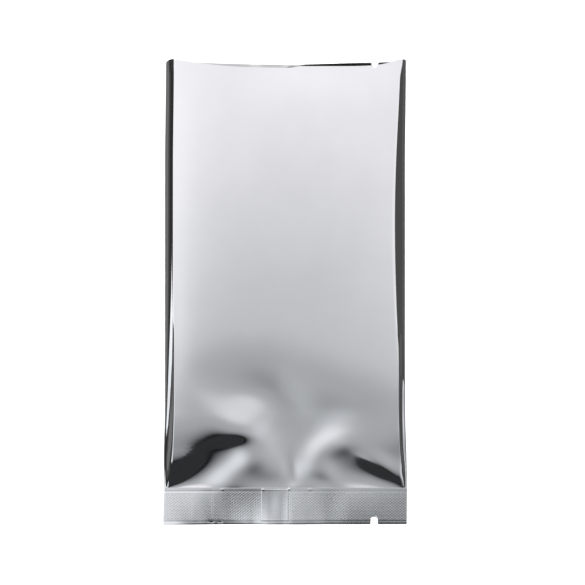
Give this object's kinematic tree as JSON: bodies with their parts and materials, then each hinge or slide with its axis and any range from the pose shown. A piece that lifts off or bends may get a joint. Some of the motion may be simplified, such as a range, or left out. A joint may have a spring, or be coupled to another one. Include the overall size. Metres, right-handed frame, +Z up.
{
  "type": "metallized heat-seal bag",
  "caption": "Empty silver film bag, a flat tube with a back fin seal, shut by a knurled bottom seal band and open at the mouth, with tear notches in both ends.",
  "frame": {"origin": "on the surface that the lying bag rests on, under the middle of its box", "axes": "+X across the bag, to the right as the shown front is seen with the mouth up; +Y from the bottom seal band to the open mouth; +Z up, out of the shown front"},
  "size_m": [0.0862, 0.1642, 0.0079],
  "materials": {
    "silver_film": "bright mirror-like metallized film, satin where the seal band is knurled"
  },
  "bodies": {
    "root": {"bag": "silver_film"}
  },
  "joints": []
}
